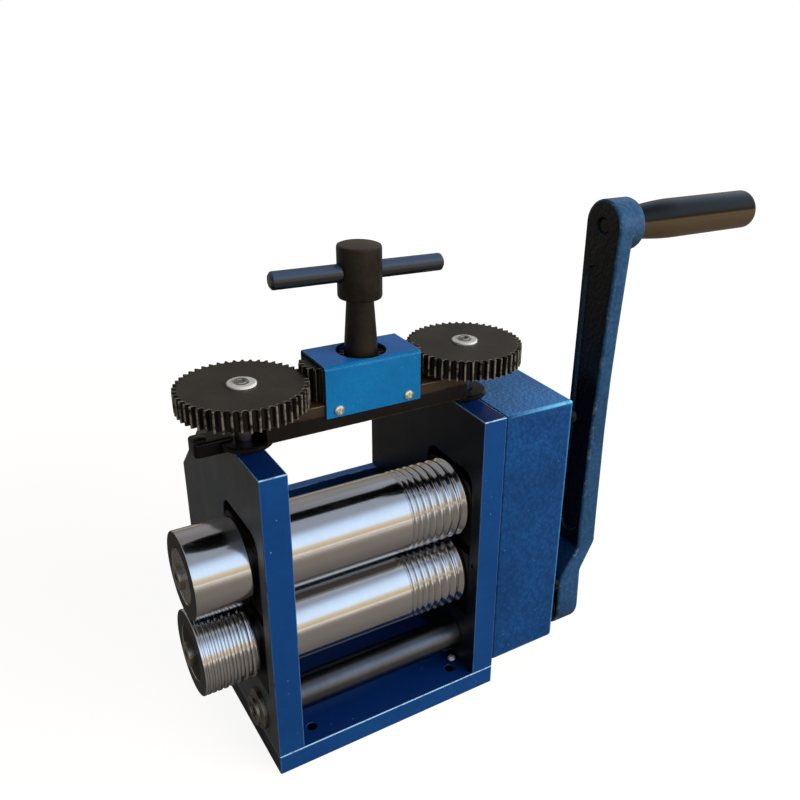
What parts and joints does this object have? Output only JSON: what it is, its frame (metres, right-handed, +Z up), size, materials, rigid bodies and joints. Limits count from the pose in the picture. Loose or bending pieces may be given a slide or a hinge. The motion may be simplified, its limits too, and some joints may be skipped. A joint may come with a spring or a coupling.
{
  "type": "jewellers rolling mill",
  "caption": "Hand-cranked jewellers rolling mill: grooved steel rolls between blue side plates, pressed together by a T-handle through gears and turned by a long crank.",
  "frame": {"origin": "middle of the underside of the base plate", "axes": "+X along the rolls towards the crank, +Y to the back, +Z up"},
  "size_m": [0.3467, 0.1335, 0.2909],
  "materials": {
    "frame_paint": "glossy blue paint with fine orange peel",
    "casing_paint": "blue hammered paint",
    "cover_paint": "bright blue orange-peel paint",
    "polished_steel": "polished hardened steel",
    "ground_steel": "ground or turned steel",
    "black_oxide": "oil-blackened steel, satin",
    "bright_nickel": "bright nickel plate",
    "bearing_bronze": "machined bronze",
    "spring_steel": "drawn spring wire",
    "black_enamel": "gloss black enamel",
    "grip_black": "gloss black moulding"
  },
  "bodies": {
    "frame": {"base_plate": "frame_paint", "left_side_plate": "frame_paint", "right_side_plate": "frame_paint", "rear_tie_plate": "frame_paint", "front_tie_rod": "ground_steel", "tie_bolt": "ground_steel", "lower_bearing_left": "bearing_bronze", "lower_bearing_right": "bearing_bronze", "lift_spring_left": "spring_steel", "lift_spring_right": "spring_steel", "screw_seat_left": "black_oxide", "screw_seat_right": "black_oxide", "bridge_bar": "black_oxide", "idler_pin_left": "ground_steel", "idler_pin_right": "ground_steel", "gear_cover": "cover_paint", "cover_screw_front_left": "bright_nickel", "cover_screw_rear_left": "bright_nickel", "cover_screw_front_right": "bright_nickel", "cover_screw_rear_right": "bright_nickel", "gear_casing": "casing_paint", "casing_screw_upper_front": "black_oxide", "casing_screw_lower_front": "black_oxide", "casing_screw_upper_rear": "black_oxide", "casing_screw_lower_rear": "black_oxide", "crank_bush": "bearing_bronze", "transfer_pin": "ground_steel"},
    "lift_carriage": {"upper_bearing_left": "bearing_bronze", "upper_bearing_right": "bearing_bronze"},
    "upper_roll_group": {"upper_roll": "polished_steel", "upper_extension_roll": "polished_steel", "upper_end_washer": "ground_steel", "upper_end_bolt": "bright_nickel", "upper_roll_gear": "ground_steel"},
    "lower_roll_group": {"lower_roll": "polished_steel", "lower_extension_roll": "polished_steel", "lower_end_washer": "ground_steel", "lower_end_bolt": "bright_nickel", "lower_roll_gear": "ground_steel", "main_gear": "ground_steel"},
    "left_screw_group": {"pressure_screw_left": "ground_steel", "adjusting_gear_left": "black_oxide", "gear_washer_left": "bright_nickel", "gear_screw_left": "bright_nickel"},
    "right_screw_group": {"pressure_screw_right": "ground_steel", "adjusting_gear_right": "black_oxide", "gear_washer_right": "bright_nickel", "gear_screw_right": "bright_nickel"},
    "left_idler": {"idler_gear_left": "black_oxide"},
    "right_idler": {"idler_gear_right": "black_oxide"},
    "t_handle": {"spindle_pinion": "ground_steel", "spindle_screw": "ground_steel", "t_handle_stem": "black_oxide", "t_handle_bar": "black_enamel"},
    "transfer": {"transfer_gear": "ground_steel"},
    "crank": {"crank_shaft": "ground_steel", "crank_arm": "casing_paint", "crank_screw": "bright_nickel", "grip_spindle": "black_oxide"},
    "grip_body": {"grip": "grip_black"}
  },
  "joints": [
    {"name": "crank_turn", "type": "hinge", "parent": "frame", "child": "crank", "pos_m": [0.127, -0.049, 0.033], "axis": [1, 0, 0], "continuous": true},
    {"name": "grip_turn", "type": "hinge", "parent": "crank", "child": "grip_body", "pos_m": [0.2, -0.05454, 0.27694], "axis": [1, 0, 0], "continuous": true},
    {"name": "transfer_turn", "type": "hinge", "parent": "frame", "child": "transfer", "pos_m": [0.095, -0.02734, 0.03494], "axis": [1, 0, 0], "continuous": true},
    {"name": "lower_roll_turn", "type": "hinge", "parent": "frame", "child": "lower_roll_group", "pos_m": [0, -0.0317, 0.0737], "axis": [1, 0, 0], "continuous": true},
    {"name": "upper_roll_turn", "type": "hinge", "parent": "lift_carriage", "child": "upper_roll_group", "pos_m": [0, -0.0317, 0.1217], "axis": [1, 0, 0], "continuous": true},
    {"name": "handle_turn", "type": "hinge", "parent": "frame", "child": "t_handle", "pos_m": [0, -0.0317, 0.21], "axis": [0, 0, 1], "range_deg": [-1085, 2305]},
    {"name": "left_idler_turn", "type": "hinge", "parent": "frame", "child": "left_idler", "pos_m": [-0.02122, -0.0317, 0.21], "axis": [0, 0, 1], "range_deg": [-2306, 1086]},
    {"name": "right_idler_turn", "type": "hinge", "parent": "frame", "child": "right_idler", "pos_m": [0.02122, -0.0317, 0.21], "axis": [0, 0, 1], "range_deg": [-2306, 1086]},
    {"name": "roll_lift", "type": "slide", "parent": "frame", "child": "lift_carriage", "axis": [0, 0, 1], "range_m": [-0.0016, 0.0034], "deforming": ["lift_spring_left", "lift_spring_right"]},
    {"name": "left_screw_turn", "type": "hinge", "parent": "lift_carriage", "child": "left_screw_group", "pos_m": [-0.0618, -0.0317, 0.2], "axis": [0, 0, 1], "range_deg": [-385, 817]},
    {"name": "right_screw_turn", "type": "hinge", "parent": "lift_carriage", "child": "right_screw_group", "pos_m": [0.0618, -0.0317, 0.2], "axis": [0, 0, 1], "range_deg": [-385, 817]}
  ],
  "couplings": [
    {"joint": "transfer_turn", "follows": "crank_turn", "ratio": -0.8125},
    {"joint": "lower_roll_turn", "follows": "crank_turn", "ratio": 0.36111},
    {"joint": "upper_roll_turn", "follows": "crank_turn", "ratio": -0.36111},
    {"joint": "handle_turn", "follows": "roll_lift", "rad_per_m": 11827},
    {"joint": "left_idler_turn", "follows": "roll_lift", "rad_per_m": -11827},
    {"joint": "right_idler_turn", "follows": "roll_lift", "rad_per_m": -11827},
    {"joint": "left_screw_turn", "follows": "roll_lift", "rad_per_m": 4188.8},
    {"joint": "right_screw_turn", "follows": "roll_lift", "rad_per_m": 4188.8}
  ]
}
